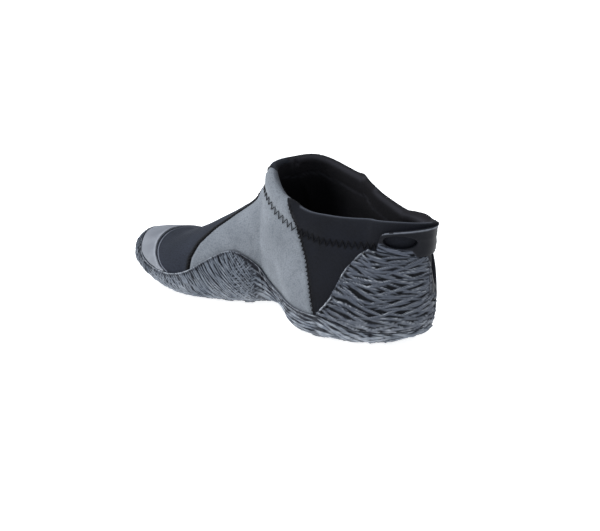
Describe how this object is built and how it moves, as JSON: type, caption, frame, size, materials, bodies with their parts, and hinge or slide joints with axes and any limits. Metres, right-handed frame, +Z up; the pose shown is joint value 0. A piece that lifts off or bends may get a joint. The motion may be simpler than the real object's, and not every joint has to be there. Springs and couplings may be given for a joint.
{
  "type": "wetsuit bootie",
  "caption": "Low neoprene wetsuit bootie for the right foot: soft hollow upper in a rubber cup sole with ball wings, toe rand, ribbed heel counter, toe cap and heel pull tab.",
  "frame": {"origin": "middle of the part's bounding box at floor level, under the sole", "axes": "+X from heel to toe, +Y to the inner side of the foot, +Z up"},
  "size_m": [0.272, 0.0934, 0.1111],
  "materials": {
    "upper": "matt knitted nylon on neoprene",
    "outsole": "satin moulded rubber",
    "insole": "matt",
    "heel_counter": "satin moulded rubber",
    "toe_cap": "matt coated rubber",
    "pull_tab": "satin moulded rubber"
  },
  "bodies": {
    "root": {"upper": "upper", "outsole": "outsole", "insole": "insole", "heel_counter": "heel_counter", "toe_cap": "toe_cap", "pull_tab": "pull_tab"}
  },
  "joints": []
}
